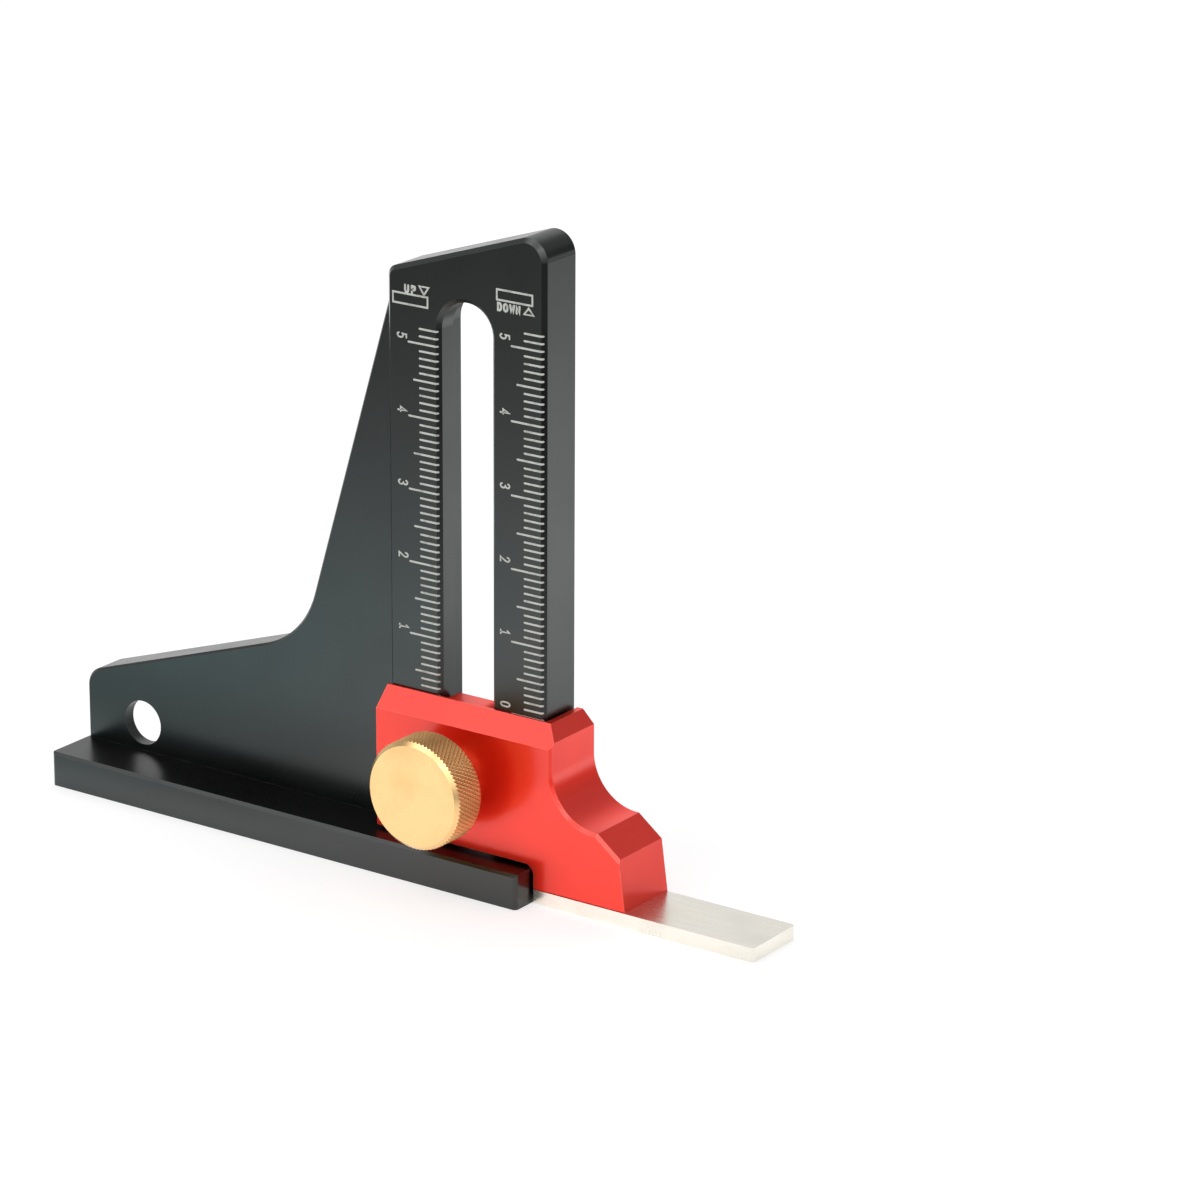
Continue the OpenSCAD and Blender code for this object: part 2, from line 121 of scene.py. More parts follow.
def grain(tree: Tree, size: float, detail: float, stretch: Point = (1.0, 1.0, 1.0)) -> Socket:
    """Adds a noise that is fixed to the piece.

    Args:
        tree: the material's node tree.
        size: width of one patch of the noise, in metres.
        detail: how much finer structure the noise has.
        stretch: how many times longer a patch is along X, Y and Z.

    Returns:
        The noise from 0 to 1.
    """
    place = add_node(tree, "ShaderNodeTexCoord").outputs["Object"]
    scaled = add_node(tree, "ShaderNodeMapping", {
        "Vector": place, "Scale": [1 / (size * s) for s in stretch]})
    return add_node(tree, "ShaderNodeTexNoise", {
        "Vector": scaled.outputs["Vector"], "Scale": 1.0, "Detail": detail}).outputs["Fac"]


def uneven(tree: Tree, roughness: float, *changes: tuple[Socket, Pair, Pair]) -> Socket:
    """Lets the roughness vary over a surface.

    Args:
        tree: the material's node tree.
        roughness: the roughness before any change.
        changes: one or more things that change it, each with its value, the span of that
            value, and what is added at the two ends of the span.

    Returns:
        The changed roughness.
    """
    changed = roughness
    for value, span, added in changes:
        change = add_node(tree, "ShaderNodeMapRange", [value, *span, *added])
        changed = add_node(tree, "ShaderNodeMath", [changed, change.outputs["Result"]],
                           operation="ADD").outputs["Value"]
    return changed


@dataclass(frozen=True)
class Patches:
    """Soft patches of another colour and gloss: smudges, stains, tarnish or dirt.

    Their colour grows between the span's two values of their noise, up to the most that
    it covers, and their roughness is lower or higher than the finish's by the two changes.
    """

    size: float
    span: Pair
    rougher: Pair
    most: float = 1.0
    detail: float = 4.0

    def lay(self, tree: Tree, clean: str, patchy: str) -> tuple[Socket, Socket]:
        """Lays the patches over a clean colour.

        Args:
            tree: the material's node tree.
            clean: the hex colour between the patches.
            patchy: the hex colour of the patches.

        Returns:
            The patches' noise, and the mixed colour.
        """
        noise = grain(tree, self.size, self.detail)
        share = add_node(tree, "ShaderNodeMapRange", [noise, *self.span, 0.0, self.most])
        colour = add_node(tree, "ShaderNodeMix", {
            0: share.outputs["Result"], UNDER: linear(clean), OVER: linear(patchy)},
            data_type="RGBA")
        return noise, colour.outputs[MIXED]


@dataclass(frozen=True)
class EdgeWear:
    """The narrow strip along each sharp edge where a finish has rubbed thin."""

    # How far the strip reaches from the edge, and the most that it covers
    reach: float
    most: float
    # Cosines of the bend at which the strip starts and at which it is full
    bend: Pair = (0.995, 0.8)
    # The strip is broken up by a noise, and grows from its least share to all of itself
    # between these two values of it
    broken: Pair = (0.35, 0.7)
    least: float = 0.25
    # How many rays feel for the edge at each point
    rays: int = 4

    def lay(self, tree: Tree, noise: Socket, under: Socket, worn: str) -> Socket:
        """Lays the strip over a colour.

        Args:
            tree: the material's node tree.
            noise: the noise that breaks the strip up.
            under: the colour away from the edges.
            worn: the hex colour of the strip.

        Returns:
            The mixed colour.
        """
        rounded = add_node(tree, "ShaderNodeBevel", {"Radius": self.reach}, samples=self.rays)
        flat = add_node(tree, "ShaderNodeNewGeometry").outputs["True Normal"]
        facing = add_node(tree, "ShaderNodeVectorMath", [rounded.outputs["Normal"], flat],
                          operation="DOT_PRODUCT").outputs["Value"]
        edge = add_node(tree, "ShaderNodeMapRange", [facing, *self.bend, 0.0, self.most])
        left = add_node(tree, "ShaderNodeMapRange", [noise, *self.broken, self.least, 1.0])
        share = add_node(tree, "ShaderNodeMath", [edge.outputs["Result"], left.outputs["Result"]],
                         operation="MULTIPLY").outputs["Value"]
        return add_node(tree, "ShaderNodeMix", {0: share, UNDER: under, OVER: linear(worn)},
                        data_type="RGBA").outputs[MIXED]


@dataclass(frozen=True)
class Marks:
    """Fine marks that a tool leaves: their width, and how strong and how deep they look."""

    size: float
    strength: float
    depth: float
    # What they add to the roughness, from their lowest to their highest part
    rougher: Pair = (0.0, 0.0)
    detail: float = 3.0
    stretch: Point = (1.0, 1.0, 1.0)

    def noise(self, tree: Tree) -> Socket:
        """Returns the noise that gives the marks their height."""
        return grain(tree, self.size, self.detail, self.stretch)

    def surface(self, tree: Tree, height: Socket, colour: Socket, metallic: float,
                roughness: Socket) -> bpy.types.Node:
        """Joins the marks with a colour and a roughness, as the material's surface.

        Args:
            tree: the material's node tree.
            height: the marks' height from 0 to 1.
            colour: the finished colour.
            metallic: how much of the surface is metal.
            roughness: the finished roughness.

        Returns:
            The shader, which may get further values.
        """
        bump = add_node(tree, "ShaderNodeBump", {
            "Strength": self.strength, "Distance": self.depth, "Height": height})
        shader = add_node(tree, "ShaderNodeBsdfPrincipled", {
            "Base Color": colour, "Metallic": metallic, "Roughness": roughness,
            "Normal": bump.outputs["Normal"]})
        add_node(tree, "ShaderNodeOutputMaterial", {"Surface": shader.outputs["BSDF"]})
        return shader


@dataclass(frozen=True)
class Anodised:
    """Dyed and sealed aluminium oxide over fine-milled, lightly blasted aluminium.

    It gives the eye a deep, even colour under a clear hard skin, with a soft sheen that
    mirrors close things and a paler line where an edge has rubbed, which on the black
    body is partly a painted highlight.
    """

    name: str
    dye: str
    faded_dye: str
    worn_edge: str
    metallic: float
    roughness: float
    # Tint of the light that the skin over a dull dye mirrors
    sheen_tint: str = WHITE
    # How much of a metallic dye's gloss is that of the clear skin over it
    skin_share: float = 0.65
    skin_roughness: float = 0.18
    # Sealed aluminium oxide
    skin_ior: float = 1.61
    # Smudges as wide as a finger tip, and patches of wear a sixth as wide
    smudges: Patches = Patches(size=11 * MM, span=(0.35, 0.65), rougher=(-0.03, 0.04))
    wear: EdgeWear = EdgeWear(reach=0.22 * MM, most=0.55)
    wear_patch: float = 11 / 6 * MM
    wear_detail: float = 3.0
    # Blasting marks are about 0.05 mm wide; drawn as 0.16 mm so that they show
    blasting: Marks = Marks(size=0.16 * MM, strength=0.22, depth=0.01 * MM)

    def make(self) -> bpy.types.Material:
        """Builds the material.

        Returns:
            The material.
        """
        material, tree = empty_material(self.name)
        smudges, dye = self.smudges.lay(tree, self.dye, self.faded_dye)
        worn = grain(tree, self.wear_patch, self.wear_detail)
        colour = self.wear.lay(tree, worn, dye, self.worn_edge)
        roughness = uneven(tree, self.roughness, (smudges, NOISE_SPAN, self.smudges.rougher))
        shader = self.blasting.surface(tree, self.blasting.noise(tree), colour,
                                       metallic=self.metallic, roughness=roughness)
        if self.metallic > 0:
            shader.inputs["Coat Weight"].default_value = self.skin_share
            shader.inputs["Coat IOR"].default_value = self.skin_ior
            shader.inputs["Coat Roughness"].default_value = self.skin_roughness
        else:
            shader.inputs["IOR"].default_value = self.skin_ior
            shader.inputs["Specular Tint"].default_value = linear(self.sheen_tint)
        return material


@dataclass(frozen=True)
class GroundSteel:
    """Tool steel ground flat along its length.

    It gives the eye a bright warm grey with fine straight lines, and long soft reflections.
    """

    name: str
    colour: str
    stained: str
    roughness: float = 0.24
    worn_edge: str = "#FFFDF6"
    stains: Patches = Patches(size=7 * MM, span=(0.45, 0.75), rougher=(-0.04, 0.06))
    wear: EdgeWear = EdgeWear(reach=0.15 * MM, most=0.4)
    # Grinding lines are about 0.02 mm apart; drawn 0.14 mm apart so that they show
    grinding: Marks = Marks(size=0.14 * MM, strength=0.2, depth=0.005 * MM,
                            rougher=(-0.03, 0.04), stretch=(60.0, 1.0, 1.0))

    def make(self) -> bpy.types.Material:
        """Builds the material.

        Returns:
            The material.
        """
        material, tree = empty_material(self.name)
        lines = self.grinding.noise(tree)
        stains, steel = self.stains.lay(tree, self.colour, self.stained)
        colour = self.wear.lay(tree, stains, steel, self.worn_edge)
        roughness = uneven(tree, self.roughness, (stains, NOISE_SPAN, self.stains.rougher),
                           (lines, NOISE_SPAN, self.grinding.rougher))
        self.grinding.surface(tree, lines, colour, metallic=1.0, roughness=roughness)
        return material


@dataclass(frozen=True)
class TurnedBrass:
    """Brass turned on a lathe and left bare.

    It gives the eye a warm yellow metal with faint rings round its axis, a slight
    brown tint where hands and air have dulled it, and painted shade on its outer sides.
    """

    name: str
    colour: str
    tarnished: str
    handled: str
    # From this distance off the axis on, sides are duller, and painted shade makes them
    # darker: the screw's knurl, and the round sides of the nut
    side_radius: float
    axis: Pair = THUMB_AXIS
    roughness: float = 0.27
    # How much rougher those sides are, and how wide their border is
    side_roughness: float = 0.17
    side_border: float = 0.1 * MM
    # How much a face looks along the axis, from a side to a turned face
    side_slope: Pair = (0.5, 0.62)
    worn_edge: str = "#FFF0C8"
    tarnish: Patches = Patches(size=5 * MM, span=(0.45, 0.85), rougher=(-0.02, 0.04),
                               most=0.6, detail=5.0)
    wear: EdgeWear = EdgeWear(reach=0.15 * MM, most=0.5)
    # The tool's feed marks, one each 0.1 mm; drawn 0.22 mm apart so that they show
    feed: Marks = Marks(size=0.22 * MM, strength=0.25, depth=0.008 * MM,
                        rougher=(-0.02, 0.02), detail=2.0)

    def radius(self, tree: Tree) -> Socket:
        """Measures how far off the axis the shaded point lies.

        Args:
            tree: the material's node tree.

        Returns:
            The distance in metres.
        """
        place = add_node(tree, "ShaderNodeTexCoord").outputs["Object"]
        across = add_node(tree, "ShaderNodeVectorMath", [place, (1.0, 0.0, 1.0)],
                          operation="MULTIPLY").outputs["Vector"]
        return add_node(tree, "ShaderNodeVectorMath", [across, (self.axis[0], 0.0, self.axis[1])],
                        operation="DISTANCE").outputs["Value"]

    def side_share(self, tree: Tree, radius: Socket) -> Socket:
        """Finds the outer sides, which face away from the axis.

        Args:
            tree: the material's node tree.
            radius: distance off the axis.

        Returns:
            1 on those sides and 0 elsewhere.
        """
        normal = add_node(tree, "ShaderNodeNewGeometry").outputs["True Normal"]
        along = add_node(tree, "ShaderNodeSeparateXYZ", [normal]).outputs["Y"]
        slope = add_node(tree, "ShaderNodeMath", [along], operation="ABSOLUTE").outputs["Value"]
        outer = add_node(tree, "ShaderNodeMapRange", [
            radius, self.side_radius - self.side_border, self.side_radius, 0.0, 1.0])
        side = add_node(tree, "ShaderNodeMapRange", [slope, *self.side_slope, 1.0, 0.0])
        return add_node(tree, "ShaderNodeMath", [outer.outputs["Result"], side.outputs["Result"]],
                        operation="MULTIPLY").outputs["Value"]

    def make(self) -> bpy.types.Material:
        """Builds the material.

        Returns:
            The material.
        """
        material, tree = empty_material(self.name)
        radius = self.radius(tree)
        rings = add_node(tree, "ShaderNodeTexNoise", {
            "W": radius, "Scale": 1 / self.feed.size, "Detail": self.feed.detail},
            noise_dimensions="1D").outputs["Fac"]
        tarnish, metal = self.tarnish.lay(tree, self.colour, self.tarnished)
        side = self.side_share(tree, radius)
        # Painted shade: the outer sides get the darker handled colour
        brass = add_node(tree, "ShaderNodeMix", {
            0: side, UNDER: metal, OVER: linear(self.handled)}, data_type="RGBA")
        colour = self.wear.lay(tree, tarnish, brass.outputs[MIXED], self.worn_edge)
        roughness = uneven(tree, self.roughness, (tarnish, NOISE_SPAN, self.tarnish.rougher),
                           (rings, NOISE_SPAN, self.feed.rougher),
                           (side, (0.0, 1.0), (0.0, self.side_roughness)))
        self.feed.surface(tree, rings, colour, metallic=1.0, roughness=roughness)
        return material


@dataclass(frozen=True)
class EngravingPaint:
    """White enamel rubbed into engraved lines.

    It gives the eye matt, slightly yellowed white lines with a little dirt in them.
    """

    name: str = "rubbed_in_white_enamel"
    colour: str = "#D2D4CF"
    dirty: str = "#A3A49C"
    roughness: float = 0.45
    dirt: Patches = Patches(size=0.9 * MM, span=(0.5, 0.8), rougher=(0.0, 0.15))
    # Pits that rubbing leaves in the enamel
    pits: Marks = Marks(size=0.08 * MM, strength=0.3, depth=0.01 * MM, detail=2.0)

    def make(self) -> bpy.types.Material:
        """Builds the material.

        Returns:
            The material.
        """
        material, tree = empty_material(self.name)
        dirt, colour = self.dirt.lay(tree, self.colour, self.dirty)
        roughness = uneven(tree, self.roughness, (dirt, NOISE_SPAN, self.dirt.rougher))
        self.pits.surface(tree, self.pits.noise(tree), colour, metallic=0.0, roughness=roughness)
        return material


class Glyph(Enum):
    """Single-line figures and letters, 1 high, as an engraving machine cuts them.

    Each has its sign, whether its lines join their own start, and its lines.
    """

    ZERO = ("0", True, ((0.3, 0.0), (0.48, 0.08), (0.58, 0.3), (0.58, 0.7), (0.48, 0.92),
                        (0.3, 1.0), (0.12, 0.92), (0.02, 0.7), (0.02, 0.3), (0.12, 0.08)))
    ONE = ("1", False, ((0.1, 0.74), (0.33, 1.0), (0.33, 0.0)), ((0.08, 0.0), (0.58, 0.0)))
    TWO = ("2", False, ((0.03, 0.74), (0.1, 0.92), (0.3, 1.0), (0.5, 0.92), (0.57, 0.74),
                        (0.5, 0.54), (0.03, 0.0), (0.6, 0.0)))
    THREE = ("3", False, ((0.04, 0.84), (0.14, 0.96), (0.32, 1.0), (0.5, 0.92), (0.56, 0.76),
                          (0.48, 0.6), (0.3, 0.54), (0.5, 0.46), (0.59, 0.28), (0.52, 0.1),
                          (0.3, 0.0), (0.12, 0.04), (0.02, 0.18)))
    FOUR = ("4", False, ((0.45, 0.0), (0.45, 1.0), (0.02, 0.3), (0.62, 0.3)))
    FIVE = ("5", False, ((0.54, 1.0), (0.12, 1.0), (0.08, 0.56), (0.3, 0.64), (0.5, 0.55),
                         (0.58, 0.33), (0.5, 0.1), (0.28, 0.0), (0.1, 0.04), (0.02, 0.16)))
    D = ("D", True, ((0.05, 0.0), (0.05, 1.0), (0.34, 1.0), (0.52, 0.86), (0.58, 0.6),
                     (0.58, 0.4), (0.52, 0.14), (0.34, 0.0)))
    N = ("N", False, ((0.05, 0.0), (0.05, 1.0), (0.55, 0.0), (0.55, 1.0)))
    O = ("O", True, ((0.3, 0.0), (0.5, 0.1), (0.6, 0.3), (0.6, 0.7), (0.5, 0.9), (0.3, 1.0),
                     (0.1, 0.9), (0.0, 0.7), (0.0, 0.3), (0.1, 0.1)))
    P = ("P", False, ((0.05, 0.0), (0.05, 1.0), (0.38, 1.0), (0.54, 0.9), (0.54, 0.6),
                      (0.38, 0.48), (0.05, 0.48)))
    U = ("U", False, ((0.05, 1.0), (0.05, 0.3), (0.14, 0.08), (0.3, 0.0), (0.46, 0.08),
                      (0.55, 0.3), (0.55, 1.0)))
    W = ("W", False, ((0.0, 1.0), (0.16, 0.0), (0.35, 0.8), (0.54, 0.0), (0.7, 1.0)))

    @classmethod
    def of(cls, sign: str) -> "Glyph":
        """Returns the glyph of one figure or letter."""
        return next(g for g in cls if g.value[0] == sign)


@dataclass
class ColumnFace:
    """The column's front face with its chamfered edges, in the drawing's millimetres."""

    front: float = 7.1
    right: float = 80.0
    slot_left: float = 63.2
    chamfer: float = 0.6

    def depth_at(self, x: float) -> float:
        """Gives the distance of the surface from the back face.

        Args:
            x: distance from the tail end.

        Returns:
            The distance, which falls off over the chamfers.
        """
        by_slot, by_side = self.bends()
        over = max(0.0, x - by_side)
        if x < self.slot_left + self.chamfer:
            over = max(over, x - by_slot)
        return self.front - min(over, self.chamfer)

    def bends(self) -> Pair:
        """Returns the two places along X where a chamfer starts."""
        return self.slot_left - self.chamfer, self.right - self.chamfer


@dataclass
class Pen:
    """Cuts lines of one width in the column's face and fills them with paint.

    The paint stands a little proud, far less than the slider's gap, with a bevelled rim, so
    that its raised part has only a share of the width. All lengths are in millimetres.
    """

    face: ColumnFace
    width: float
    proud: float = 0.012
    sunk: float = 0.12
    raised_share: float = 0.8
    cap_steps: int = 4
    # Half the width over this is the most that a corner sticks out
    mitre_limit: float = 0.55
    # A line that passes a chamfer's start by less, in square millimetres, isn't split
    least_pass: float = 1e-9
    mesh: bmesh.types.BMesh = field(default_factory=bmesh.new)

    def vertex(self, at: Vector, lift: float) -> bmesh.types.BMVert:
        """Adds a vertex over a point of the face.

        Args:
            at: distance from the tail end and height, in millimetres.
            lift: height above the surface, in millimetres.

        Returns:
            The vertex.
        """
        depth = self.face.depth_at(at.x) + lift
        return self.mesh.verts.new(Vector((at.x, -depth, at.y)) * MM + DRAWING_ORIGIN)

    def sides(self, points: list[Vector], closed: bool) -> list[Vector]:
        """Gives the half width to the left of each point, mitred where the line bends.

        Args:
            points: the middle line.
            closed: whether its end joins its start.

        Returns:
            One offset for each point.
        """
        count, offsets = len(points), []
        for i, point in enumerate(points):
            before = point - points[i - 1] if closed or i > 0 else None
            after = points[(i + 1) % count] - point if closed or i < count - 1 else None
            arriving, leaving = (before or after).normalized(), (after or before).normalized()
            middle = (arriving + leaving).normalized()
            reach = self.width / 2 / max(self.mitre_limit, middle.dot(leaving))
            offsets.append(Vector((-middle.y, middle.x)) * reach)
        return offsets

    def line(self, raw: list[Pair], closed: bool = False) -> None:
        """Draws one line.

        Args:
            raw: points of the middle line, in millimetres.
            closed: whether its end joins its start.
        """
        points = self.split([Vector(p) for p in raw], closed)
        left = list(zip(points, self.sides(points, closed)))
        right = [(p, -o) for p, o in left]
        if closed:
            self.ring_band(left, right)
        else:
            self.capped_band(left, right)

    def split(self, points: list[Vector], closed: bool) -> list[Vector]:
        """Adds a point wherever a line crosses the start of a chamfer.

        Args:
            points: the middle line.
            closed: whether its end joins its start.

        Returns:
            The points with the added ones.
        """
        found = []
        for i, point in enumerate(points):
            found.append(point)
            if i == len(points) - 1 and not closed:
                break
            after = points[(i + 1) % len(points)]
            for bend in self.face.bends():
                if (point.x - bend) * (after.x - bend) < -self.least_pass:
                    found.append(point.lerp(after, (bend - point.x) / (after.x - point.x)))
        return found

    def rings(self, outline: list[tuple[Vector, Vector]]) -> list[list[bmesh.types.BMVert]]:
        """Makes the sunk, level and proud vertices over an outline.

        Args:
            outline: point of the middle line and offset from it, for each place.

        Returns:
            Three lists of vertices, from the lowest up.
        """
        return [[self.vertex(p + o * scale, lift) for p, o in outline]
                for scale, lift in ((1.0, -self.sunk), (1.0, 0.0), (self.raised_share, self.proud))]

    def walls(self, rings: list[list[bmesh.types.BMVert]]) -> None:
        """Joins three closed rings of vertices with faces.

        Args:
            rings: the lists from self.rings.
        """
        count = len(rings[0])
        for low, high in zip(rings, rings[1:]):
            for i in range(count):
                j = (i + 1) % count
                self.mesh.faces.new((low[i], low[j], high[j], high[i]))

    def ring_band(self, left: list[tuple[Vector, Vector]],
                  right: list[tuple[Vector, Vector]]) -> None:
        """Builds a line whose end joins its start.

        Args:
            left: points and offsets of the left side.
            right: points and offsets of the right side.
        """
        one, two = self.rings(left), self.rings(right)
        self.walls(one)
        self.walls(two)
        for a, b in ((one[0], two[0]), (one[-1], two[-1])):
            for i in range(len(left)):
                j = (i + 1) % len(left)
                self.mesh.faces.new((a[i], a[j], b[j], b[i]))

    def cap(self, middle: Vector, offset: Vector) -> list[tuple[Vector, Vector]]:
        """Gives the places round one end of a line, between its two sides.

        Args:
            middle: the end of the middle line.
            offset: the half width on the side where the round end starts.

        Returns:
            The end and an offset from it, for each place.
        """
        return [(middle, Matrix.Rotation(-math.pi * step / self.cap_steps, 2) @ offset)
                for step in range(1, self.cap_steps)]

    def capped_band(self, left: list[tuple[Vector, Vector]],
                    right: list[tuple[Vector, Vector]]) -> None:
        """Builds a line with two round ends, as the turning cutter leaves them.

        Args:
            left: points and offsets of the left side.
            right: points and offsets of the right side.
        """
        rings = self.rings([*left, *self.cap(*left[-1]), *reversed(right), *self.cap(*right[0])])
        self.walls(rings)
        # In each ring the right side runs back to its start, which has this number
        count = len(left)
        start = 2 * count + self.cap_steps - 2
        for row in (rings[0], rings[-1]):
            for i in range(count - 1):
                self.mesh.faces.new((row[i], row[i + 1], row[start - i - 1], row[start - i]))
            self.mesh.faces.new(row[count - 1:count + self.cap_steps])
            self.mesh.faces.new([*row[start:], row[0]])

    def finish(self, name: str, material: bpy.types.Material) -> None:
        """Turns all lines drawn so far into one piece of the fixed body.

        Args:
            name: the piece's name.
            material: its paint.
        """
        bmesh.ops.recalc_face_normals(self.mesh, faces=self.mesh.faces)
        data = bpy.data.meshes.new(name)
        self.mesh.to_mesh(data)
        self.mesh.free()
        data.materials.append(material)
        piece = bpy.data.objects.new(name, data)
        bpy.context.scene.collection.objects.link(piece)
        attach(piece, "frame")
        LOG.info("%s: %d faces, %s", name, len(data.polygons), material.name)


class Turn(Enum):
    """Which way up a word is cut: its reading direction and its own upward direction."""

    UPRIGHT = (Vector((1, 0)), Vector((0, 1)))
    CLOCKWISE = (Vector((0, -1)), Vector((1, 0)))


def write(pen: Pen, text: str, at: Pair, height: float, advance: float, turn: Turn,
          squeeze: float) -> None:
    """Cuts a word or a figure.

    Args:
        pen: the pen that cuts it.
        text: what is cut.
        at: where its lower left corner lies, in millimetres.
        height: height of a letter.
        advance: distance from one letter to the next.
        turn: which way up it stands.
        squeeze: width of the letters against the drawn ones.
    """
    across, up = turn.value
    for number, sign in enumerate(text):
        _, closed, *lines = Glyph.of(sign).value
        start = Vector(at) + across * (advance * number)
        for points in lines:
            pen.line([start + across * (u * height * squeeze) + up * (v * height)
                      for u, v in points], closed)


@dataclass
class Scale:
    """One engraved millimetre scale beside the slot, with its figures, in millimetres.

    Its lines end on the right at end_x, and start where their reading says. A figure
    stands on figure_x, turned by a quarter, with its middle a little above its line.
    """

    name: str
    zero_z: float
    end_x: float
    short_x: float
    five_x: float
    ten_x: float
    figure_x: float
    figure_lift: float
    lowest_figure: int
    last: int = 52
    line_w: float = 0.28
    figure_h: float = 1.7
    figure_line_w: float = 0.24
    figure_squeeze: float = 0.72
    # From a figure's left edge to its middle, as a share of its height
    figure_middle: float = 0.3

    def line_start(self, reading: int) -> float:
        """Finds the start of a reading's line, which is longer at each five and each ten.

        Args:
            reading: the reading in millimetres.

        Returns:
            Where the line starts along X.
        """
        if reading % 5:
            return self.short_x
        return self.five_x if reading % 10 else self.ten_x

    def build(self, face: ColumnFace, paint: bpy.types.Material) -> None:
        """Cuts the lines and the figures as two pieces.

        Args:
            face: the face that carries them.
            paint: the material in them.
        """
        lines = Pen(face, self.line_w)
        half = self.line_w / 2
        for reading in range(self.last + 1):
            z = self.zero_z + reading
            lines.line([(self.line_start(reading) + half, z), (self.end_x - half, z)])
        lines.finish(f"{self.name}_lines", paint)
        figures = Pen(face, self.figure_line_w)
        for ten in range(self.lowest_figure, self.last // 10 + 1):
            middle = self.zero_z + 10 * ten + self.figure_lift
            write(figures, str(ten), (self.figure_x, middle + self.figure_middle * self.figure_h),
                  self.figure_h - self.figure_line_w, 0.0, Turn.CLOCKWISE, self.figure_squeeze)
        figures.finish(f"{self.name}_figures", paint)


@dataclass
class Sign:
    """A word, an arrow head and a bar, which say which way a scale is read.

    All is in millimetres. The bar is given by its lower left and its upper right corner.
    """

    name: str
    word: str
    word_at: Pair
    letter_advance: float
    squeeze: float
    arrow: tuple[Pair, Pair, Pair]
    bar: tuple[float, float, float, float]
    letter_h: float = 0.92
    letter_line_w: float = 0.33
    line_w: float = 0.27

    def build(self, face: ColumnFace, paint: bpy.types.Material) -> None:
        """Cuts the sign as one piece.

        Args:
            face: the face that carries it.
            paint: the material in it.
        """
        pen = Pen(face, self.letter_line_w)
        write(pen, self.word, self.word_at, self.letter_h, self.letter_advance, Turn.UPRIGHT,
              self.squeeze)
        pen.width = self.line_w
        pen.line(list(self.arrow), closed=True)
        x0, z0, x1, z1 = self.bar
        pen.line([(x0, z0), (x1, z0), (x1, z1), (x0, z1)], closed=True)
        pen.finish(self.name, paint)


def dress(node: str, material: bpy.types.Material) -> None:
    """Gives a CAD node its finish.

    Args:
        node: the node's name.
        material: the finish.
    """
    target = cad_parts[node]
    for slot in target.material_slots:
        slot.material = material
    if not target.material_slots:
        target.data.materials.append(material)
    LOG.info("%s: %s", node, material.name)


@dataclass
class MarkedBody:
    """The body with its black finish and everything engraved on its column."""

    # The black's pale worn_edge colour is partly rubbed wear and partly a painted highlight on its
    # edges
    finish: Anodised = Anodised(
        name="black_anodised_aluminium", dye="#020202", faded_dye="#040404",
        worn_edge="#434B4E", metallic=0.0, roughness=0.28, sheen_tint="#FAFFFE")
    paint: EngravingPaint = EngravingPaint()
    face: ColumnFace = field(default_factory=ColumnFace)
    scales: tuple[Scale, ...] = (
        Scale(name="up_scale", zero_z=22.4, end_x=62.9, short_x=59.86, five_x=58.9,
              ten_x=58.06, figure_x=56.4, figure_lift=0.5, lowest_figure=1),
        Scale(name="down_scale", zero_z=24.5, end_x=79.72, short_x=76.65, five_x=75.5,
              ten_x=74.6, figure_x=72.95, figure_lift=0.9, lowest_figure=0))
    signs: tuple[Sign, ...] = (
        Sign(name="up_sign", word="UP", word_at=(57.66, 79.0), letter_advance=1.1, squeeze=1.1,
             arrow=((60.0, 80.1), (61.5, 80.1), (60.76, 79.05)),
             bar=(55.72, 77.4, 61.32, 78.78)),
        Sign(name="down_sign", word="DOWN", word_at=(72.56, 78.96), letter_advance=0.98,
             squeeze=1.0, arrow=((76.72, 79.04), (78.2, 79.04), (77.46, 79.9)),
             bar=(72.42, 80.32, 78.02, 81.68)))

    def build(self) -> None:
        """Dresses the body and cuts its scales and signs."""
        dress("body", self.finish.make())
        paint = self.paint.make()
        for mark in (*self.scales, *self.signs):
            mark.build(self.face, paint)


@dataclass
class Carriage:
    """The red slider with the blade and the two screws that hold it."""

    finish: Anodised = Anodised(
        name="red_anodised_aluminium", dye="#FB2C09", faded_dye="#F52807",
        worn_edge="#FF9A86", metallic=0.75, roughness=0.48)
    blade: GroundSteel = GroundSteel("ground_tool_steel", colour="#F1EDE3", stained="#E4E0D4")
    # The screws' black oxide leaves them a dull dark grey
    screws: GroundSteel = GroundSteel("blackened_screw_steel", colour="#6A6C6E",
                                      stained="#55575A", roughness=0.35)

    def build(self) -> None:
        """Dresses the three nodes."""
        dress("slider", self.finish.make())
        dress("blade", self.blade.make())
        dress("blade_screws", self.screws.make())


@dataclass
class Clamp:
    """The thumb screw and the nut that it draws against the column."""

    # Each brass has a darker colour for its sides, which is painted shade
    screw: TurnedBrass = TurnedBrass("turned_brass", colour="#E2BB84", tarnished="#D4A569",
                                     handled="#E1B476", side_radius=6.9 * MM)
    nut: TurnedBrass = TurnedBrass("nut_brass", colour="#F1CC90", tarnished="#E2B474",
                                   handled="#CFA264", side_radius=5.9 * MM)

    def build(self) -> None:
        """Dresses the two nodes."""
        dress("thumb_screw", self.screw.make())
        dress("clamp_nut", self.nut.make())


class Measure(Enum):
    """What a change of light follows: the distance from a point, or the way along a line."""

    AWAY = "DISTANCE"
    ALONG = "DOT_PRODUCT"


@dataclass(frozen=True)
class Fade:
    """A soft change of light, from one level at the span's start to another at its end.

    It follows the distance from the point `of`, or the way along the direction `of`.
    """

    of: Point
    span: Pair
    levels: Pair
    measure: Measure = Measure.AWAY

    def level(self, tree: Tree, place: Socket) -> Socket:
        """Says how bright this change leaves a place.

        Args:
            tree: the node tree.
            place: the place.

        Returns:
            The level.
        """
        way = add_node(tree, "ShaderNodeVectorMath", [place, self.of],
                       operation=self.measure.value).outputs["Value"]
        return add_node(tree, "ShaderNodeMapRange", [way, *self.span, *self.levels],
                        interpolation_type="SMOOTHSTEP").outputs["Result"]


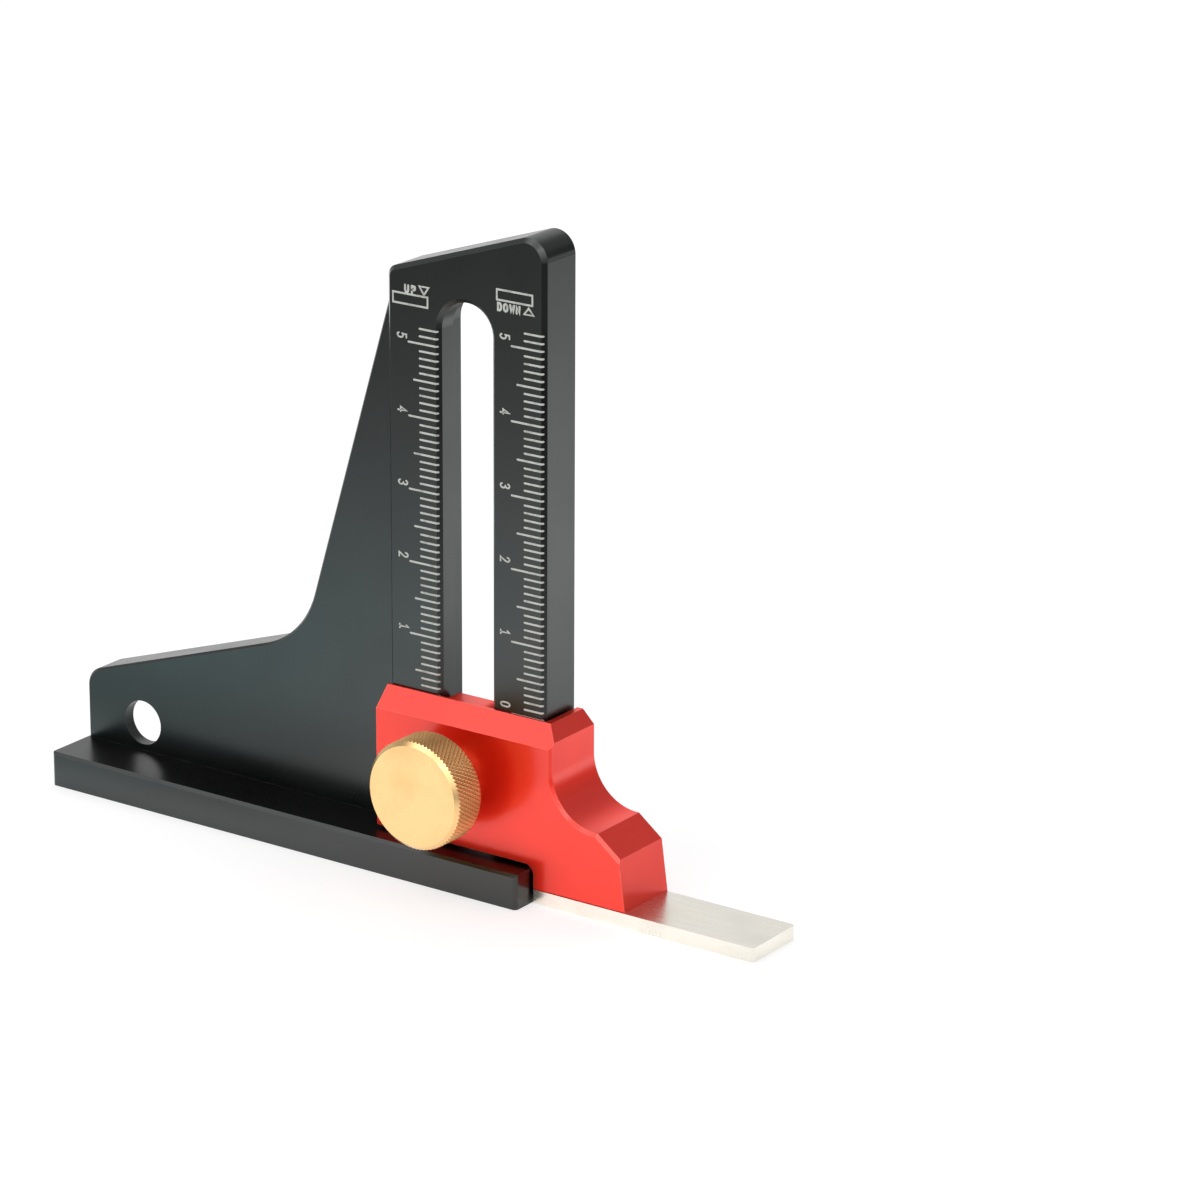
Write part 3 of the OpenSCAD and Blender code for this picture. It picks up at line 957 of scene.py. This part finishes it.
def through(tree: Tree, place: Socket, fades: tuple[Fade, ...], level: object = 1.0) -> Socket:
    """Takes light through several changes, one after the other.

    Args:
        tree: the node tree.
        place: the place that it lights.
        fades: the changes.
        level: the level before them, a number or a socket.

    Returns:
        The level after them.
    """
    for fade in fades:
        level = add_node(tree, "ShaderNodeMath", [level, fade.level(tree, place)],
                         operation="MULTIPLY").outputs["Value"]
    return level


@dataclass(frozen=True)
class Glow:
    """A soft bright region of the sky that the metal mirrors.

    Its rim and its core are cosines of the angle from its middle.
    """

    towards: Point
    rim: float
    core: float
    strength: float

    def add(self, tree: Tree, way: Socket, under: object) -> Socket:
        """Adds this region to a brightness.

        Args:
            tree: the sky's node tree.
            way: the direction that is looked up.
            under: the brightness so far, a number or a socket.

        Returns:
            The new brightness.
        """
        middle = tuple(Vector(self.towards).normalized())
        glow = Fade(middle, (self.rim, self.core), (0.0, self.strength), Measure.ALONG)
        return add_node(tree, "ShaderNodeMath", [glow.level(tree, way), under],
                        operation="ADD").outputs["Value"]


@dataclass(frozen=True)
class Lamp:
    """A square soft lamp: its place and its side in metres, and its power in watts."""

    name: str
    at: Point
    side: float
    watts: float

    def hang(self, aim: Point) -> None:
        """Hangs the lamp.

        Args:
            aim: the point that it lights.
        """
        data = bpy.data.lights.new(self.name, "AREA")
        data.shape, data.size, data.energy = "SQUARE", self.side, self.watts
        lamp = bpy.data.objects.new(self.name, data)
        lamp.location = self.at
        way = Vector(aim) - Vector(self.at)
        lamp.rotation_euler = way.to_track_quat("-Z", "Y").to_euler()
        lamp.visible_camera = False
        bpy.context.scene.collection.objects.link(lamp)


@dataclass
class Studio:
    """A pale floor that runs far past the view, soft lamps and an even sky."""

    lamps: tuple[Lamp, ...] = (
        Lamp("top_lamp", at=(-0.25, 0.35, 0.9), side=0.7, watts=1.6),
        Lamp("front_lamp", at=(-0.35, -0.45, 0.85), side=0.6, watts=1.7),
        Lamp("small_lamp", at=(0.39, -0.55, 0.6), side=0.25, watts=0.6))
    aim: Point = (0.0, 0.0, 0.03)
    # The sky's even light on matt surfaces, and what metal mirrors between its glows
    sky_light: float = 0.8
    sky_mirrored: float = 0.05
    glows: tuple[Glow, ...] = (
        Glow((-0.5, 0.78, 0.3), 0.8, 0.97, 0.85),
        Glow((-0.45, -0.45, 0.77), 0.85, 0.96, 0.9),
        Glow((0.43, -0.61, 0.67), 0.8, 0.93, 1.5),
        Glow((0.2, 0.78, 0.6), 0.88, 0.98, 0.45),
        Glow((-0.97, 0.08, 0.25), 0.88, 0.98, 1.0),
        Glow((-0.55, 0.4, 0.72), 0.89, 0.98, 1.5),
        Glow((-0.06, -0.47, 0.84), 0.9, 0.98, 1.0),
        Glow((0.73, -0.6, 0.2), 0.87, 0.97, 1.3),
        Glow((0.8, 0.46, 0.37), 0.88, 0.98, 0.7))
    floor_reach: float = 6.0
    floor_cells: int = 8
    # The floor lies this far below the base face
    floor_gap: float = 0.02 * MM
    # The floor's colour for the light that it throws back on the object, and its
    # brightness for the camera, where 1 is white
    board: str = "#E6E6E6"
    floor_white: float = 1.1
    # Shares of the floor's white that come from its lighting and so can fall in shadow,
    # as the camera sees it and as the metal mirrors it
    shadow_share: float = 0.42
    mirrored_shadow_share: float = 0.6
    # A painted pool of light on the floor in front of the object, which the metal mirrors
    front_pool: tuple[Fade, ...] = (
        Fade((-0.005, -0.06, 0.0), (0.035, 0.125), (1.69, 0.98)),
        Fade((-0.005, -0.06, 0.0), (0.11, 0.22), (1.0, 0.35)))
    # A painted pool of light behind it, which is brighter to the right
    back_pool: tuple[Fade, ...] = (
        Fade((0.06, 0.07, 0.0), (0.05, 0.22), (1.17, 0.88)),
        Fade((0.06, 0.07, 0.0), (0.22, 0.33), (1.0, 0.25)),
        Fade(RIGHT, (0.058, 0.1), (1.0, 1.6), Measure.ALONG))
    # Where the one gives way to the other
    pool_border: Fade = Fade(BACK, (-0.01, 0.03), (0.0, 1.0), Measure.ALONG)
    # A painted bright floor far behind, to the left
    far_light: Fade = Fade((-0.62, 0.78, 0.0), (0.03, 0.3), (0.0, 1.6), Measure.ALONG)
    # Painted shade on the floor as the metal mirrors it: an unlit part to the right in
    # front, painted half shade behind the slider, and a dim part that the black back faces
    # mirror, so that they stay deep
    shades: tuple[Fade, ...] = (
        Fade((0.22, -0.16, 0.0), (0.08, 0.16), (0.15, 1.0)),
        Fade((0.07, 0.035, 0.0), (0.012, 0.035), (0.7, 1.0)),
        Fade((-0.01, 0.09, 0.0), (0.05, 0.09), (0.35, 1.0)))
    # A painted soft shadow of the tool on the floor in front of its tail, by its outer edge,
    # its inner edge and its end to the right, and the light left where it is darkest
    dusk: tuple[Fade, ...] = (
        Fade(BACK, (-0.042, -0.028), (0.0, 1.0), Measure.ALONG),
        Fade(BACK, (-0.02, -0.01), (1.0, 0.0), Measure.ALONG),
        Fade(RIGHT, (-0.02, 0.005), (1.0, 0.0), Measure.ALONG))
    dusk_level: float = 0.55
    # A painted cool tint on the floor to the left in front, which the metal mirrors
    cool_part: Fade = Fade((-0.075, -0.05, 0.0), (0.02, 0.07), (1.0, 0.0))
    cool_colour: str = "#DEFFFF"

    def floor_glow(self, tree: Tree, place: Socket) -> Socket:
        """Says how bright the floor looks in the metal's reflections.

        It paints this light: two painted pools of light, one in front and one behind, and a
        painted bright floor far behind are dimmed by painted shades and by a painted shadow
        of the tool in front of its tail.

        Args:
            tree: the floor's node tree.
            place: the shaded point.

        Returns:
            The brightness, where 1 is white.
        """
        pools = add_node(tree, "ShaderNodeMix", {
            "Factor": self.pool_border.level(tree, place),
            "A": through(tree, place, self.front_pool),
            "B": through(tree, place, self.back_pool)})
        light = add_node(tree, "ShaderNodeMath", [
            pools.outputs["Result"], self.far_light.level(tree, place)], operation="MAXIMUM")
        # Painted shadow of the tool in front of its tail
        depth = through(tree, place, self.dusk)
        left = add_node(tree, "ShaderNodeMath", [depth, self.dusk_level - 1.0, 1.0],
                        operation="MULTIPLY_ADD")
        dusky = add_node(tree, "ShaderNodeMath", [light.outputs["Value"], left.outputs["Value"]],
                         operation="MULTIPLY")
        return through(tree, place, self.shades, dusky.outputs["Value"])

    def floor_material(self) -> bpy.types.Material:
        """Builds the floor's material, a board with matt white paint rolled on.

        It gives the eye an even white that keeps the object's shadow; in the metal's
        reflections it glows with painted pools of light and painted shadows.

        Returns:
            The material.
        """
        material, tree = empty_material("matt_white_board")
        rays = add_node(tree, "ShaderNodeLightPath").outputs
        place = add_node(tree, "ShaderNodeNewGeometry").outputs["Position"]
        # Painted cool tint of the floor as the metal mirrors it
        tint = add_node(tree, "ShaderNodeMix", {
            0: self.cool_part.level(tree, place), UNDER: linear(WHITE),
            OVER: linear(self.cool_colour)}, data_type="RGBA").outputs[MIXED]
        shown = self.partly_lit(tree, self.floor_white, self.shadow_share, linear(WHITE)[:3])
        # The metal mirrors the floor's painted light and painted shade
        mirrored = self.partly_lit(tree, self.floor_glow(tree, place),
                                   self.mirrored_shadow_share, tint)
        seen = add_node(tree, "ShaderNodeMixShader", [rays["Is Glossy Ray"], shown, mirrored])
        direct = rays["Is Camera Ray"]
        for kind in ("Is Glossy Ray", "Is Transmission Ray"):
            direct = add_node(tree, "ShaderNodeMath", [direct, rays[kind]],
                              operation="MAXIMUM").outputs["Value"]
        board = add_node(tree, "ShaderNodeBsdfDiffuse", {"Color": linear(self.board)})
        surface = add_node(tree, "ShaderNodeMixShader", [
            direct, board.outputs["BSDF"], seen.outputs["Shader"]])
        add_node(tree, "ShaderNodeOutputMaterial", {"Surface": surface.outputs["Shader"]})
        return material

    def partly_lit(self, tree: Tree, level: object, share: float, tint: object) -> Socket:
        """Makes a white that is partly its own and partly lit, so that shadows show.

        Args:
            tree: the floor's node tree.
            level: brightness of the unshaded floor, a number or a socket.
            share: how much of it is lit.
            tint: its colour, or the socket that gives it.

        Returns:
            The shader.
        """
        colours = []
        for part in (share, 1 - share):
            strength = add_node(tree, "ShaderNodeMath", [level, part], operation="MULTIPLY")
            colours.append(add_node(tree, "ShaderNodeVectorMath", {
                "Vector": tint, "Scale": strength.outputs["Value"]},
                operation="SCALE").outputs["Vector"])
        lit = add_node(tree, "ShaderNodeBsdfDiffuse", {"Color": colours[0]})
        own = add_node(tree, "ShaderNodeEmission", {"Color": colours[1]})
        return add_node(tree, "ShaderNodeAddShader", [
            lit.outputs["BSDF"], own.outputs["Emission"]]).outputs["Shader"]

    def sky(self) -> None:
        """Builds the sky: plain light for matt surfaces, and soft glows for metal."""
        world = bpy.data.worlds.new("studio_sky")
        world.use_nodes = True
        tree = world.node_tree
        tree.nodes.clear()
        bpy.context.scene.world = world
        rays = add_node(tree, "ShaderNodeLightPath").outputs
        way = add_node(tree, "ShaderNodeTexCoord").outputs["Generated"]
        mirrored = self.sky_mirrored
        for glow in self.glows:
            mirrored = glow.add(tree, way, mirrored)
        lit = add_node(tree, "ShaderNodeMix", {
            "Factor": rays["Is Glossy Ray"], "A": self.sky_light, "B": mirrored})
        strength = add_node(tree, "ShaderNodeMix", {
            "Factor": rays["Is Camera Ray"], "A": lit.outputs["Result"], "B": 1.0})
        background = add_node(tree, "ShaderNodeBackground", {
            "Strength": strength.outputs["Result"]})
        add_node(tree, "ShaderNodeOutputWorld", {"Surface": background.outputs["Background"]})

    def floor(self) -> None:
        """Lays the floor, a flat board just below the base face."""
        mesh = bmesh.new()
        bmesh.ops.create_grid(
            mesh, x_segments=self.floor_cells, y_segments=self.floor_cells,
            size=self.floor_reach, matrix=Matrix.Translation((0.0, 0.0, -self.floor_gap)))
        data = bpy.data.meshes.new("floor")
        mesh.to_mesh(data)
        mesh.free()
        data.materials.append(self.floor_material())
        board = bpy.data.objects.new("floor", data)
        bpy.context.scene.collection.objects.link(board)
        LOG.info("floor: %s", data.materials[0].name)

    def build(self) -> None:
        """Sets up the floor, the sky and the lamps."""
        self.floor()
        self.sky()
        for lamp in self.lamps:
            lamp.hang(self.aim)


@dataclass
class PhotoCamera:
    """The camera of the photograph's front view, found from the edges of the object.

    Lengths in space are in metres, angles in degrees, and the lens and sensor in millimetres.
    """

    place: Point = (0.3920, -0.49225, 0.2449)
    azimuth: float = 35.01
    elevation: float = 18.3
    roll: float = 0.26
    lens: float = 147.873
    sensor: float = 36.0
    shift: Pair = (0.00683, -0.02183)
    clip: Pair = (0.01, 50.0)

    def build(self) -> None:
        """Sets up the camera and makes it the scene's."""
        data = bpy.data.cameras.new("photo_camera")
        data.sensor_width, data.lens = self.sensor, self.lens
        data.shift_x, data.shift_y = self.shift
        data.clip_start, data.clip_end = self.clip
        camera = bpy.data.objects.new("photo_camera", data)
        turn = (Matrix.Rotation(math.radians(self.azimuth), 4, "Z")
                @ Matrix.Rotation(math.radians(90 - self.elevation), 4, "X")
                @ Matrix.Rotation(math.radians(self.roll), 4, "Z"))
        camera.matrix_world = Matrix.Translation(self.place) @ turn
        bpy.context.scene.collection.objects.link(camera)
        bpy.context.scene.camera = camera


def main() -> None:
    """Builds every sub-assembly and the studio."""
    logging.basicConfig(level=logging.INFO, format="%(name)s: %(message)s")
    bpy.context.scene.view_settings.view_transform = "Standard"
    for assembly in (MarkedBody(), Carriage(), Clamp(), Studio(), PhotoCamera()):
        assembly.build()


if __name__ == "__main__":
    main()
